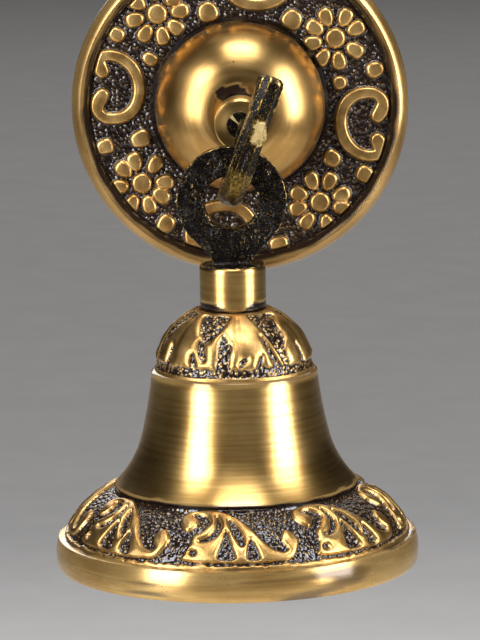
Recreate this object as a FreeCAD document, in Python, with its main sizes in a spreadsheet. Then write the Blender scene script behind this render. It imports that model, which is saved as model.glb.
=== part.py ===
import FreeCAD, Part
import math
import os
import re

import Sketcher

# A brass temple bell that hangs by a ring eye from an open hook on a round wall rosette.
# Frame: origin where the hook's stud crosses the wall, +Z up, wall plane y = 0, the object towards -Y.
# Depths are measured from the wall, drops downwards from the origin, radii from each piece's own axis.

SIZES = {
    # Rosette, a hollow-backed casting; its oversize stud hole lets it sit higher than the stud.
    "rosette_lift": 2.0,
    "rosette_radius": 48.5,
    "rim_back_radius": 47.9,
    "rim_crest_radius": 45.9,
    "rim_crest_depth": 8.0,
    "rim_side_depth": 3.6,
    "rim_roll": 4.6,
    "field_radius": 42.6,
    "field_depth": 5.0,
    "back_land_radius": 44.6,
    "back_hollow": 2.0,
    "dome_radius": 24.4,
    "dome_side_depth": 9.0,
    "dome_bulge": 18.2,
    "dome_front_radius": 9.4,
    "dome_front_depth": 24.0,
    "dome_wall": 3.0,
    "stud_hole": 6.0,
    # Hook: round threaded shank, then a bar bent to a J that leans and yaws a little.
    "shank_radius": 4.0,
    "shank_tail": 38.0,
    "relief_depth": 4.0,
    "relief_end": 1.5,
    "relief_radius": 3.4,
    "running_gap": 0.04,
    "collar_radius": 7.3,
    "collar_front": 36.0,
    "bar_width": 7.2,
    "bar_thick": 8.0,
    "bar_round": 2.8,
    "neck_bend": 6.3,
    "stem_run": 1.7,
    "seat_bend": 10.0,
    "leg_rise": 25.3,
    "tip_bevel": 1.2,
    "hook_lean": 19.5,
    "hook_sidestep": 2.8,
    # Fixings behind the dome.
    "washer_radius": 10.5,
    "washer_thick": 1.6,
    "nut_flats": 13.0,
    "nut_height": 6.5,
    # Bell axis, eye and neck post.
    "bell_side": -2.9,
    "bell_depth": 54.0,
    "eye_drop": 18.4,
    "eye_hole_drop": 18.8,
    "eye_hole": 7.1,
    "eye_radius": 15.4,
    "eye_thick": 5.0,
    "eye_edge": 1.2,
    "eye_taper_side": 11.8,
    "eye_taper_drop": 9.9,
    "eye_foot_side": 4.7,
    "neck_radius": 9.2,
    "neck_top": 35.9,
    "neck_bottom": 48.7,
    "neck_thread": 10.0,
    # Bell shell, outside.
    "shoulder_bulge": 19.0,
    "shoulder_radius": 22.2,
    "shoulder_drop": 65.6,
    "waist_radius": 23.1,
    "waist_drop": 66.0,
    "flare_radius": 26.5,
    "flare_drop": 85.0,
    "flare_upper_sweep": 118.0,
    "flare_lower_sweep": 29.0,
    "foot_radius": 34.0,
    "foot_drop": 97.6,
    "groove_radius": 33.3,
    "groove_drop": 98.5,
    "skirt_bulge": 23.5,
    "skirt_radius": 48.3,
    "skirt_drop": 111.8,
    "lip_top_radius": 50.1,
    "lip_top_drop": 112.2,
    "lip_bulge": 14.0,
    "lip_radius": 50.3,
    "lip_drop": 120.6,
    # Bell shell, inside.
    "mouth_radius": 46.0,
    "bow_radius": 44.6,
    "bow_drop": 112.0,
    "bow_sweep": 30.0,
    "hip_radius": 31.0,
    "hip_drop": 100.6,
    "hip_sweep": 24.0,
    "inner_flare_radius": 23.0,
    "inner_flare_drop": 85.0,
    "inner_waist_radius": 19.8,
    "inner_waist_drop": 66.5,
    "inner_waist_sweep": 118.0,
    "crown_flat": 9.4,
    "crown_drop": 52.2,
    "crown_sweep": 16.5,
    "crown_hole": 4.3,
    # Clapper train, hung on the bell's axis.
    "crown_washer_radius": 8.8,
    "crown_washer_thick": 1.5,
    "crown_nut_height": 5.0,
    "ring_radius": 5.0,
    "ring_wire": 1.8,
    "link_radius": 5.5,
    "link_wire": 1.3,
    "eyebolt_drop": 66.0,
    "link_drop": 73.1,
    "rod_eye_drop": 80.2,
    "rod_radius": 2.0,
    "ball_drop": 111.0,
    "ball_radius": 7.5,
    "ball_flat": 3.4,
    "ball_half": 6.68,
    "end_nut_radius": 3.4,
    "end_nut_height": 3.2,
    "rod_end": 119.4,
}

doc = FreeCAD.newDocument("temple_bell")
sheet = doc.addObject("Spreadsheet::Sheet", "Sizes")
for row, (alias, value) in enumerate(SIZES.items(), start=1):
    sheet.set(f"A{row}", alias)
    sheet.set(f"B{row}", str(value))
    sheet.setAlias(f"B{row}", alias)
doc.recompute()
pieces = []


def on_sheet(text):
    """Turns plain size names into references to the sheet's cells."""
    return re.sub(r"[a-z]\w*", lambda word: "Sizes." + word.group(0), text)


def amount(text):
    """The number that an expression in size names stands for."""
    return float(sheet.evalExpression(on_sheet(text)))


def bind(target, path, text):
    target.setExpression(path, on_sheet(text))


def new_piece(label, side=None, depth=None, lift=None):
    """A body for one physical piece, its own axis placed by the sheet."""
    body = doc.addObject("PartDesign::Body", label)
    body.Label = label
    for path, text in (("x", side), ("y", depth), ("z", lift)):
        if text:
            bind(body, f".Placement.Base.{path}", text)
    pieces.append(body)
    return body


def bell_piece(label):
    """A piece whose own Z axis is the bell's axis."""
    return new_piece(label, side="bell_side", depth="-bell_depth")


def new_sketch(body, name, role, offset=None):
    sketch = body.newObject("Sketcher::SketchObject", name)
    plane = next(item for item in body.Origin.OriginFeatures if item.Role == role)
    sketch.AttachmentSupport = (plane, "")
    sketch.MapMode = "FlatFace"
    if offset:
        bind(sketch, ".AttachmentOffset.Base.z", offset)
    return sketch


def pin_point(sketch, curve, end, x_text, y_text):
    """Ties one end of a curve, or a circle's centre, to a place given in size names."""
    for kind, text in (("DistanceX", x_text), ("DistanceY", y_text)):
        index = sketch.addConstraint(Sketcher.Constraint(kind, -1, 1, curve, end, amount(text)))
        bind(sketch, f"Constraints[{index}]", text)


def arc_between(start, end, radius, turn):
    """The shorter arc from start to end; turn is 1 for a left-hand bend and -1 for a right-hand one."""
    chord = end - start
    height = math.sqrt(max(radius**2 - (chord.Length / 2) ** 2, 0.0))
    left = FreeCAD.Vector(-chord.y, chord.x, 0).normalize()
    centre = (start + end) / 2 + left * height * turn
    first, last = (start, end) if turn > 0 else (end, start)
    angles = [math.atan2(point.y - centre.y, point.x - centre.x) for point in (first, last)]
    if angles[1] < angles[0]:
        angles[1] += 2 * math.pi
    return Part.ArcOfCircle(Part.Circle(centre, FreeCAD.Vector(0, 0, 1), radius), *angles)


def draw(sketch, outline, closed=True):
    """Draws corners (x, y) and arcs (x, y, radius, turn) to the next corner, each size tied to the sheet."""
    places = [FreeCAD.Vector(amount(corner[0]), amount(corner[1]), 0) for corner in outline]
    ends = []
    count = len(outline) if closed else len(outline) - 1
    for index in range(count):
        start, end = places[index], places[(index + 1) % len(places)]
        if len(outline[index]) == 2:
            curve = sketch.addGeometry(Part.LineSegment(start, end))
            ends.append((curve, 1, 2))
        else:
            radius, turn = outline[index][2:]
            curve = sketch.addGeometry(arc_between(start, end, amount(radius), turn))
            bend = sketch.addConstraint(Sketcher.Constraint("Radius", curve, amount(radius)))
            bind(sketch, f"Constraints[{bend}]", radius)
            ends.append((curve, 1, 2) if turn > 0 else (curve, 2, 1))
    for index, (curve, near, far) in enumerate(ends):
        pin_point(sketch, curve, near, *outline[index][:2])
        after = ends[(index + 1) % len(ends)]
        if closed or index + 1 < count:
            sketch.addConstraint(Sketcher.Constraint("Coincident", curve, far, after[0], after[1]))
    if not closed:
        pin_point(sketch, ends[-1][0], ends[-1][2], *outline[-1][:2])


def draw_circle(sketch, radius, x_text="0", y_text="0"):
    centre = FreeCAD.Vector(amount(x_text), amount(y_text), 0)
    circle = Part.Circle(centre, FreeCAD.Vector(0, 0, 1), amount(radius))
    curve = sketch.addGeometry(circle)
    bend = sketch.addConstraint(Sketcher.Constraint("Radius", curve, amount(radius)))
    bind(sketch, f"Constraints[{bend}]", radius)
    pin_point(sketch, curve, 3, x_text, y_text)


def revolve(body, sketch, name, kind="PartDesign::Revolution", axis="V_Axis"):
    """Turns a half outline about one axis of its own sketch."""
    turned = body.newObject(kind, name)
    turned.Profile = sketch
    turned.ReferenceAxis = (sketch, [axis])
    turned.Angle = 360
    sketch.Visibility = False
    return turned


def turn_outline(body, name, outline, role, kind="PartDesign::Revolution"):
    sketch = new_sketch(body, name + "_outline", role)
    draw(sketch, outline)
    return revolve(body, sketch, name, kind)


def turn_ring(body, name, radius, wire, drop, hole_axis):
    """A wire ring at a drop below the origin, its hole along Y or along X."""
    sketch = new_sketch(body, name + "_wire", "XY_Plane", offset=f"-({drop})")
    across = (radius, "0") if hole_axis == "Y" else ("0", radius)
    draw_circle(sketch, wire, *across)
    return revolve(body, sketch, name, axis="V_Axis" if hole_axis == "Y" else "H_Axis")


def pad(body, sketch, name, length, both_ways=False):
    block = body.newObject("PartDesign::Pad", name)
    block.Profile = sketch
    bind(block, "Length", length)
    block.Midplane = both_ways
    return block


def make_rosette():
    """Rolled rim on the wall, sunken field, and a turned dome with a flat front round the stud hole."""
    body = new_piece("rosette", lift="rosette_lift")
    turn_outline(
        body,
        "casting",
        [
            ("stud_hole", "-dome_front_depth"),
            ("dome_front_radius", "-dome_front_depth", "dome_bulge", 1),
            ("dome_radius", "-dome_side_depth"),
            ("dome_radius", "-field_depth"),
            ("field_radius", "-field_depth", "rim_roll", 1),
            ("rim_crest_radius", "-rim_crest_depth", "rim_roll", 1),
            ("rosette_radius", "-rim_side_depth"),
            ("rim_back_radius", "0"),
            ("back_land_radius", "0"),
            ("back_land_radius", "-back_hollow"),
            ("dome_radius - dome_wall", "-back_hollow"),
            ("dome_radius - dome_wall", "-dome_side_depth", "dome_bulge - dome_wall", -1),
            ("washer_radius + 0.6", "-(dome_front_depth - dome_wall)"),
            ("stud_hole", "-(dome_front_depth - dome_wall)"),
        ],
        "XY_Plane",
    )


def make_hook():
    """A threaded stud on the Y axis and, in front of the collar, the bar bent to an open J."""
    body = new_piece("hook")
    turn_outline(
        body,
        "shank",
        [
            ("0", "-(collar_front + 1)"),
            ("shank_radius", "-(collar_front + 1)"),
            ("shank_radius", "-relief_depth"),
            ("relief_radius", "-relief_depth"),
            ("relief_radius", "-relief_end"),
            ("shank_radius", "-relief_end"),
            ("shank_radius", "shank_tail - 1"),
            ("shank_radius - 1", "shank_tail"),
            ("0", "shank_tail"),
        ],
        "XY_Plane",
    )
    doc.recompute()

    # In the bar's own leaning plane X runs out from the collar, Y up the leg and Z across the bar.
    lean = FreeCAD.Rotation(FreeCAD.Vector(0, 1, 0), amount("hook_lean"))
    out, up = FreeCAD.Vector(0, -1, 0), lean.multVec(FreeCAD.Vector(0, 0, 1))
    root = lean.multVec(FreeCAD.Vector(amount("hook_sidestep"), 0, 0)) + out * amount("collar_front")
    side_plane = FreeCAD.Placement(root, FreeCAD.Rotation(out, up, out.cross(up), "XYZ"))
    end_plane = FreeCAD.Placement(root, FreeCAD.Rotation(up.cross(out), up, -out, "XYZ"))

    spine = new_sketch(body, "bar_path", "XY_Plane")
    spine.AttachmentOffset = side_plane
    seat = ("stem_run + neck_bend + seat_bend", "-neck_bend - seat_bend")
    draw(
        spine,
        [
            ("0", "0"),
            ("stem_run", "0", "neck_bend", -1),
            ("stem_run + neck_bend", "-neck_bend", "seat_bend", 1),
            (*seat, "seat_bend", 1),
            ("stem_run + neck_bend + 2 * seat_bend", "-neck_bend"),
            ("stem_run + neck_bend + 2 * seat_bend", "leg_rise - neck_bend"),
        ],
        closed=False,
    )
    section = new_sketch(body, "bar_section", "XY_Plane")
    section.AttachmentOffset = end_plane
    wide, high, soft = "bar_width / 2", "bar_thick / 2", "bar_round"
    draw(
        section,
        [
            (f"{wide} - {soft}", f"-({high})", soft, 1),
            (wide, f"-({high} - {soft})"),
            (wide, f"{high} - {soft}", soft, 1),
            (f"{wide} - {soft}", high),
            (f"-({wide} - {soft})", high, soft, 1),
            (f"-({wide})", f"{high} - {soft}"),
            (f"-({wide})", f"-({high} - {soft})", soft, 1),
            (f"-({wide} - {soft})", f"-({high})"),
        ],
    )
    bar = body.newObject("PartDesign::AdditivePipe", "bar")
    bar.Profile = section
    bar.Spine = (spine, [f"Edge{number}" for number in range(1, 6)])
    doc.recompute()

    tip_height = (side_plane.multVec(FreeCAD.Vector(0, amount("leg_rise - neck_bend"), 0)) - root).dot(up)
    tip_edges = [
        f"Edge{number}"
        for number, edge in enumerate(bar.Shape.Edges, start=1)
        if all(abs((vertex.Point - root).dot(up) - tip_height) < 0.01 for vertex in edge.Vertexes)
    ]
    bevel = body.newObject("PartDesign::Chamfer", "tip")
    bevel.Base = (bar, tip_edges)
    bind(bevel, "Size", "tip_bevel")


def make_collar():
    """Turned ferrule that bears on the dome's front and carries the root of the hook's bar."""
    body = new_piece("hook_collar")
    turn_outline(
        body,
        "ferrule",
        [
            ("shank_radius + running_gap", "-dome_front_depth"),
            ("collar_radius - 0.8", "-dome_front_depth"),
            ("collar_radius", "-(dome_front_depth + 1)"),
            ("collar_radius", "-(collar_front - 0.8)"),
            ("collar_radius - 0.8", "-collar_front"),
            ("shank_radius + running_gap", "-collar_front"),
        ],
        "XY_Plane",
    )


def make_hook_washer():
    body = new_piece("hook_washer")
    face = "dome_front_depth - dome_wall"
    turn_outline(
        body,
        "disc",
        [
            ("shank_radius + 0.3", f"-({face})"),
            ("washer_radius - rosette_lift", f"-({face})"),
            ("washer_radius - rosette_lift", f"-({face} - washer_thick)"),
            ("shank_radius + 0.3", f"-({face} - washer_thick)"),
        ],
        "XY_Plane",
    )


def make_hex_nut(body, plane, seat, height):
    """A hexagon standing on its seat, bored for the thread, its corners turned off at both ends."""
    hexagon = new_sketch(body, "hexagon", plane, offset=seat)
    corner = f"nut_flats / {math.sqrt(3):.6f}"
    half = "nut_flats / 2"
    draw(
        hexagon,
        [
            (f"{corner}", "0"),
            (f"{corner} / 2", half),
            (f"-{corner} / 2", half),
            (f"-{corner}", "0"),
            (f"-{corner} / 2", f"-{half}"),
            (f"{corner} / 2", f"-{half}"),
        ],
    )
    draw_circle(hexagon, "shank_radius + running_gap")
    pad(body, hexagon, "blank", height)
    doc.recompute()
    along = "XY_Plane" if plane == "XZ_Plane" else "XZ_Plane"
    sign = "-" if plane == "XZ_Plane" else ""
    for name, end, inward in (("near", f"({seat})", "+"), ("far", f"({seat}) + ({height})", "-")):
        cut = new_sketch(body, f"{name}_corner_cut", along)
        draw(
            cut,
            [
                (f"{half} - 0.2", f"{sign}({end})"),
                (f"{corner} + 0.4", f"{sign}({end})"),
                (f"{corner} + 0.4", f"{sign}({end} {inward} 0.8)"),
            ],
        )
        revolve(body, cut, f"{name}_corners", kind="PartDesign::Groove")
        doc.recompute()


def make_hook_nut():
    body = new_piece("hook_nut")
    seat = "dome_front_depth - dome_wall - washer_thick - nut_height"
    make_hex_nut(body, "XZ_Plane", seat, "nut_height")


def make_hanger():
    """Flat ring eye that tapers into a turned neck post, tapped from below for the eyebolt."""
    body = bell_piece("hanger")
    eye = new_sketch(body, "eye_outline", "XZ_Plane")
    taper_drop = "-(eye_drop + eye_taper_drop)"
    draw(
        eye,
        [
            ("eye_foot_side", "-(neck_top + 1)"),
            ("eye_foot_side", "-neck_top"),
            ("eye_taper_side", taper_drop, "eye_radius", 1),
            ("0", "-(eye_drop - eye_radius)", "eye_radius", 1),
            ("-eye_taper_side", taper_drop),
            ("-eye_foot_side", "-neck_top"),
            ("-eye_foot_side", "-(neck_top + 1)"),
        ],
    )
    draw_circle(eye, "eye_hole", "0", "-eye_hole_drop")
    ring = pad(body, eye, "eye", "eye_thick", both_ways=True)
    doc.recompute()
    hole_rims = [
        f"Edge{number}"
        for number, edge in enumerate(ring.Shape.Edges, start=1)
        if edge.Closed and abs(edge.Length - 2 * math.pi * amount("eye_hole")) < 0.01
    ]
    rims = body.newObject("PartDesign::Fillet", "eye_hole_rims")
    rims.Base = (ring, hole_rims)
    bind(rims, "Radius", "eye_edge")
    doc.recompute()
    turn_outline(
        body,
        "neck_post",
        [
            ("0", "-neck_top"),
            ("neck_radius - 0.4", "-neck_top"),
            ("neck_radius", "-(neck_top + 0.4)"),
            ("neck_radius", "-(neck_bottom - 0.6)"),
            ("neck_radius - 0.6", "-neck_bottom"),
            ("0", "-neck_bottom"),
        ],
        "XZ_Plane",
    )
    doc.recompute()
    turn_outline(
        body,
        "tapped_hole",
        [
            ("0", "-(neck_bottom - neck_thread - 2)"),
            ("shank_radius + running_gap", "-(neck_bottom - neck_thread)"),
            ("shank_radius + running_gap", "-neck_bottom"),
            ("0", "-neck_bottom"),
        ],
        "XZ_Plane",
        kind="PartDesign::Groove",
    )


def make_bell_shell():
    """One casting: domed shoulder, flared waist, bulging skirt and a thick turned lip, open below."""
    body = bell_piece("bell_shell")
    turn_outline(
        body,
        "casting",
        [
            ("crown_hole", "-neck_bottom"),
            ("neck_radius + 0.4", "-neck_bottom", "shoulder_bulge", -1),
            ("shoulder_radius", "-shoulder_drop"),
            ("waist_radius", "-waist_drop", "flare_upper_sweep", 1),
            ("flare_radius", "-flare_drop", "flare_lower_sweep", 1),
            ("foot_radius", "-foot_drop"),
            ("groove_radius", "-groove_drop", "skirt_bulge", -1),
            ("skirt_radius", "-skirt_drop"),
            ("lip_top_radius", "-lip_top_drop", "lip_bulge", -1),
            ("lip_radius", "-lip_drop"),
            ("mouth_radius", "-lip_drop"),
            ("bow_radius", "-bow_drop", "bow_sweep", 1),
            ("hip_radius", "-hip_drop", "hip_sweep", -1),
            ("inner_flare_radius", "-inner_flare_drop", "inner_waist_sweep", -1),
            ("inner_waist_radius", "-inner_waist_drop", "crown_sweep", 1),
            ("crown_flat", "-crown_drop"),
            ("crown_hole", "-crown_drop"),
        ],
        "XZ_Plane",
    )


def make_crown_washer():
    body = bell_piece("crown_washer")
    turn_outline(
        body,
        "disc",
        [
            ("shank_radius + 0.3", "-crown_drop"),
            ("crown_washer_radius", "-crown_drop"),
            ("crown_washer_radius", "-(crown_drop + crown_washer_thick)"),
            ("shank_radius + 0.3", "-(crown_drop + crown_washer_thick)"),
        ],
        "XZ_Plane",
    )


def make_crown_nut():
    body = bell_piece("crown_nut")
    seat = "-(crown_drop + crown_washer_thick + crown_nut_height)"
    make_hex_nut(body, "XY_Plane", seat, "crown_nut_height")


def make_eyebolt():
    """Bolt up through the crown into the neck post, with a closed eye for the clapper."""
    body = bell_piece("clapper_eyebolt")
    turn_outline(
        body,
        "shank",
        [
            ("0", "-(neck_bottom - neck_thread + 1)"),
            ("shank_radius - 0.6", "-(neck_bottom - neck_thread + 1)"),
            ("shank_radius", "-(neck_bottom - neck_thread + 1.6)"),
            ("shank_radius", "-(eyebolt_drop - ring_radius - ring_wire)"),
            ("ring_wire - 0.2", "-(eyebolt_drop - ring_radius)"),
            ("0", "-(eyebolt_drop - ring_radius)"),
        ],
        "XZ_Plane",
    )
    doc.recompute()
    turn_ring(body, "eye", "ring_radius", "ring_wire", "eyebolt_drop", "Y")


def make_clapper_link():
    body = bell_piece("clapper_link")
    turn_ring(body, "closed_ring", "link_radius", "link_wire", "link_drop", "X")


def make_clapper_rod():
    """Straight rod with a closed eye at the top; the ball and its end nut go on from below."""
    body = bell_piece("clapper_rod")
    turn_outline(
        body,
        "shaft",
        [
            ("0", "-(rod_eye_drop + ring_radius)"),
            ("ring_wire - 0.2", "-(rod_eye_drop + ring_radius)"),
            ("rod_radius", "-(rod_eye_drop + ring_radius + ring_wire + 1)"),
            ("rod_radius", "-(rod_end - 0.4)"),
            ("rod_radius - 0.4", "-rod_end"),
            ("0", "-rod_end"),
        ],
        "XZ_Plane",
    )
    doc.recompute()
    turn_ring(body, "eye", "ring_radius", "ring_wire", "rod_eye_drop", "Y")


def make_clapper_ball():
    """Ball with a small flat above and below, bored for the rod."""
    body = bell_piece("clapper_ball")
    turn_outline(
        body,
        "ball",
        [
            ("rod_radius + running_gap", "-(ball_drop - ball_half)"),
            ("ball_flat", "-(ball_drop - ball_half)", "ball_radius", -1),
            ("ball_radius", "-ball_drop", "ball_radius", -1),
            ("ball_flat", "-(ball_drop + ball_half)"),
            ("rod_radius + running_gap", "-(ball_drop + ball_half)"),
        ],
        "XZ_Plane",
    )


def make_end_nut():
    """Small domed nut that keeps the ball on the rod."""
    body = bell_piece("clapper_end_nut")
    top = "ball_drop + ball_half"
    turn_outline(
        body,
        "domed_nut",
        [
            ("rod_radius + running_gap", f"-({top})"),
            ("end_nut_radius", f"-({top})"),
            ("end_nut_radius", f"-({top} + end_nut_height - 1.6)"),
            ("end_nut_radius - 1.4", f"-({top} + end_nut_height)"),
            ("0", f"-({top} + end_nut_height)"),
            ("0", "-(rod_end + 0.1)"),
            ("rod_radius + running_gap", "-(rod_end + 0.1)"),
        ],
        "XZ_Plane",
    )


make_rosette()
make_hook()
make_collar()
make_hook_washer()
make_hook_nut()
make_hanger()
make_bell_shell()
make_crown_washer()
make_crown_nut()
make_eyebolt()
make_clapper_link()
make_clapper_rod()
make_clapper_ball()
make_end_nut()
doc.recompute()

for item in doc.Objects:
    if {"Invalid", "Error"} & set(item.State):
        raise RuntimeError(f"{item.Name} of {item.Label} did not rebuild: {item.State}")
for piece in pieces:
    if piece.Shape.isNull() or not piece.Shape.isValid() or len(piece.Shape.Solids) != 1:
        raise RuntimeError(f"{piece.Label} is not one sound solid")

os.makedirs("parts", exist_ok=True)
for piece in pieces:
    piece.Shape.exportStep(f"parts/{piece.Label}.step")
    box = piece.Shape.BoundBox
    print(
        f"{piece.Label:16s} {piece.Shape.Volume:9.0f} mm3"
        f"  x {box.XMin:6.1f} {box.XMax:6.1f}  y {box.YMin:6.1f} {box.YMax:6.1f}  z {box.ZMin:6.1f} {box.ZMax:6.1f}"
    )
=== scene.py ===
import math

import bmesh
import bpy
import numpy as np
from mathutils import Matrix, Vector


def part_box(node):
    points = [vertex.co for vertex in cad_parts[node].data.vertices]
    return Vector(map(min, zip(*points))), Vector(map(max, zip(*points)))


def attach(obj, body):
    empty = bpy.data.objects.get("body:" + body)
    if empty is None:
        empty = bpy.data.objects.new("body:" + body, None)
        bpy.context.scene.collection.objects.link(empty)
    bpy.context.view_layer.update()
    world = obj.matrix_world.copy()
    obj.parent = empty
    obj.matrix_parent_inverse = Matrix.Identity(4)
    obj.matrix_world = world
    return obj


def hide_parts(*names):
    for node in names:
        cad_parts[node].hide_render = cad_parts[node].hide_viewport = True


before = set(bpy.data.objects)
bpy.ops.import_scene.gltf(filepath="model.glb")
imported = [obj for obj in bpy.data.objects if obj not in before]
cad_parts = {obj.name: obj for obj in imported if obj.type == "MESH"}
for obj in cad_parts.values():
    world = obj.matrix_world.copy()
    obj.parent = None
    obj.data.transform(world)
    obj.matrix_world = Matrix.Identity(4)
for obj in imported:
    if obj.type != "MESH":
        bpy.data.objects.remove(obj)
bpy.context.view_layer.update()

MM = 0.001
WELD = 2e-6      # m: vertices nearer than this are one

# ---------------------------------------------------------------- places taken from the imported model
rosette_low, rosette_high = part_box("rosette")
shell_low, shell_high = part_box("bell_shell")
collar_low, collar_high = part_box("hook_collar")

rosette_middle = (rosette_low + rosette_high) / 2
ROSETTE_X, ROSETTE_Z = rosette_middle.x / MM, rosette_middle.z / MM
bell_middle = (shell_low + shell_high) / 2
BELL_X, BELL_Y = bell_middle.x / MM, bell_middle.y / MM

AXIS_OUT = Vector((0, -1, 0))      # out of the wall, towards the room
AXIS_DOWN = Vector((0, 0, -1))     # down the bell


# ---------------------------------------------------------------- shop helpers
def tint(code):
    """A colour written as sRGB hex, as the linear values a shader takes."""
    parts = [int(code[i:i + 2], 16) / 255 for i in (1, 3, 5)]
    return tuple(c / 12.92 if c <= 0.04045 else ((c + 0.055) / 1.055) ** 2.4 for c in parts) + (1.0,)


def add(tree, kind, feeds=None, stops=None, **settings):
    """One node with its settings; feeds maps an input to its value or to the socket that drives it, and stops
    are a colour ramp's places and colours."""
    node = tree.nodes.new(kind)
    for name, value in settings.items():
        setattr(node, name, value)
    if stops:
        marks = node.color_ramp.elements
        marks.remove(marks[1])
        for number, (place, colour) in enumerate(stops):
            mark = marks.new(place) if number else marks[0]
            mark.position, mark.color = place, colour
    for name, value in (feeds or {}).items():
        if isinstance(value, bpy.types.NodeSocket):
            tree.links.new(value, node.inputs[name])
        else:
            node.inputs[name].default_value = value
    return node


def finish_mesh(name, bm, smooth_angle=35):
    """The finished mesh as an object at the origin, shaded smooth except at its crisp edges."""
    mesh = bpy.data.meshes.new(name)
    bm.to_mesh(mesh)
    bm.free()
    mesh.polygons.foreach_set("use_smooth", [True] * len(mesh.polygons))
    mesh.set_sharp_from_angle(angle=math.radians(smooth_angle))
    piece = bpy.data.objects.new(name, mesh)
    bpy.context.scene.collection.objects.link(piece)
    return piece


def bow(start, end, radius, turn, steps):
    """Points from start (left out) to end along an arc. With turn 1 it bulges to the left of the way there,
    drawn with the first number to the right and the second up, and with -1 to the right of it."""
    (x0, y0), (x1, y1) = start, end
    dx, dy = x1 - x0, y1 - y0
    chord = math.hypot(dx, dy)
    rise = math.sqrt(max(radius ** 2 - chord ** 2 / 4, 0))
    cx = (x0 + x1) / 2 + turn * dy / chord * rise
    cy = (y0 + y1) / 2 - turn * dx / chord * rise
    first, last = math.atan2(y0 - cy, x0 - cx), math.atan2(y1 - cy, x1 - cx)
    sweep = (last - first + math.pi) % (2 * math.pi) - math.pi
    turns = [first + sweep * k / steps for k in range(1, steps + 1)]
    return [(cx + radius * math.cos(turn), cy + radius * math.sin(turn)) for turn in turns]


def straight(start, end, steps):
    """Points from start (left out) to end along a line."""
    (x0, y0), (x1, y1) = start, end
    return [(x0 + (x1 - x0) * k / steps, y0 + (y1 - y0) * k / steps) for k in range(1, steps + 1)]


SECTOR_DOUBLINGS = 5     # 32 sectors, so a ring has a multiple of 32 steps


def kept(geometry, kind):
    """Only the vertices, or only the edges, of what an operator gives back."""
    return [part for part in geometry if isinstance(part, kind)]


def turned(name, loop, centre, axis, around, smooth_angle=35):
    """A ring turned on the lathe: a closed outline of (radius, distance along the axis), in mm.
    One narrow sector is spun, then doubled round until it closes, which is quicker than one long spin."""
    side = Vector((1, 0, 0))
    sectors = 2 ** SECTOR_DOUBLINGS
    middle = Vector(centre) * MM
    bm = bmesh.new()
    ring = [bm.verts.new(middle + (side * r + axis * h) * MM) for r, h in loop]
    edges = [bm.edges.new((ring[k], ring[(k + 1) % len(ring)])) for k in range(len(ring))]
    bmesh.ops.spin(bm, geom=ring + edges, cent=middle, axis=axis, dvec=(0, 0, 0),
                   angle=2 * math.pi / sectors, steps=around // sectors, use_merge=False)
    for doubling in range(SECTOR_DOUBLINGS):
        copy = bmesh.ops.duplicate(bm, geom=bm.verts[:] + bm.edges[:] + bm.faces[:])["geom"]
        bmesh.ops.rotate(bm, verts=kept(copy, bmesh.types.BMVert), cent=middle,
                         matrix=Matrix.Rotation(2 * math.pi / sectors * 2 ** doubling, 3, axis))
    bmesh.ops.remove_doubles(bm, verts=bm.verts, dist=WELD)
    bmesh.ops.recalc_face_normals(bm, faces=bm.faces)
    return finish_mesh(name, bm, smooth_angle)


# ---------------------------------------------------------------- modelled relief
lattice = np.random.default_rng(11).random((4099, 3))
CELL_KEYS = (73856093, 19349663, 83492791)     # large primes that spread neighbouring cells over the lattice
GRAIN_REACH = 0.72                             # a grain's radius as a share of the grain spacing
OUTSIDE = -9.0                                 # mm: a depth outside any outline, before the first is tried


def scattered(cell):
    """Three repeatable random values for each whole-numbered cell."""
    key = (cell[:, 0] * CELL_KEYS[0]) ^ (cell[:, 1] * CELL_KEYS[1]) ^ (cell[:, 2] * CELL_KEYS[2])
    return lattice[key % len(lattice)]


def lumps(points, size):
    """Smooth random swells between 0 and 1, about size mm across."""
    cell = np.floor(points / size).astype(np.int64)
    part = points / size - cell
    part = part * part * (3 - 2 * part)
    total = np.zeros(len(points))
    for corner in np.ndindex(2, 2, 2):
        share = np.prod(np.where(corner, part, 1 - part), axis=1)
        total += share * scattered(cell + np.array(corner))[:, 0]
    return total


def grains(points, size):
    """Rounded grit, 1 at the middle of each grain and 0 between, about size mm across."""
    cell = np.floor(points / size).astype(np.int64)
    nearest = np.full(len(points), 9.0)
    for step in np.ndindex(3, 3, 3):
        other = cell + np.array(step) - 1
        gap = (other + scattered(other)) * size - points
        nearest = np.minimum(nearest, np.einsum("ij,ij->i", gap, gap))
    return np.clip(1 - np.sqrt(nearest) / (GRAIN_REACH * size), 0, 1)


CORNER_ROUNDS = 2


def corners_cut(before, after):
    """Each side's two points, a quarter of the way in from its ends."""
    near, far = 0.75 * before + 0.25 * after, 0.25 * before + 0.75 * after
    return np.stack((near, far), axis=1).reshape(-1, before.shape[1])


def softened(outline):
    """A closed outline with its corners cut round."""
    points = np.array(outline, float)
    for _ in range(CORNER_ROUNDS):
        points = corners_cut(points, np.roll(points, -1, axis=0))
    return points


def inside_outline(u, v, outline):
    """How far inside a closed outline each point lies, in mm; negative outside."""
    corners = softened(outline)
    nearest, crossings = np.full(len(u), 1e9), np.zeros(len(u), bool)
    for (ax, ay), (bx, by) in zip(corners, np.roll(corners, -1, axis=0)):
        ex, ey = bx - ax, by - ay
        along = np.clip(((u - ax) * ex + (v - ay) * ey) / (ex * ex + ey * ey + 1e-12), 0, 1)
        nearest = np.minimum(nearest, (u - ax - along * ex) ** 2 + (v - ay - along * ey) ** 2)
        if ay != by:
            crossings ^= ((ay > v) != (by > v)) & (u < ex * (v - ay) / ey + ax)
    return np.where(crossings, 1, -1) * np.sqrt(nearest)


PETAL_SQUARE = 2.4     # 2 is an oval, and more is squarer at the ends


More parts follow.
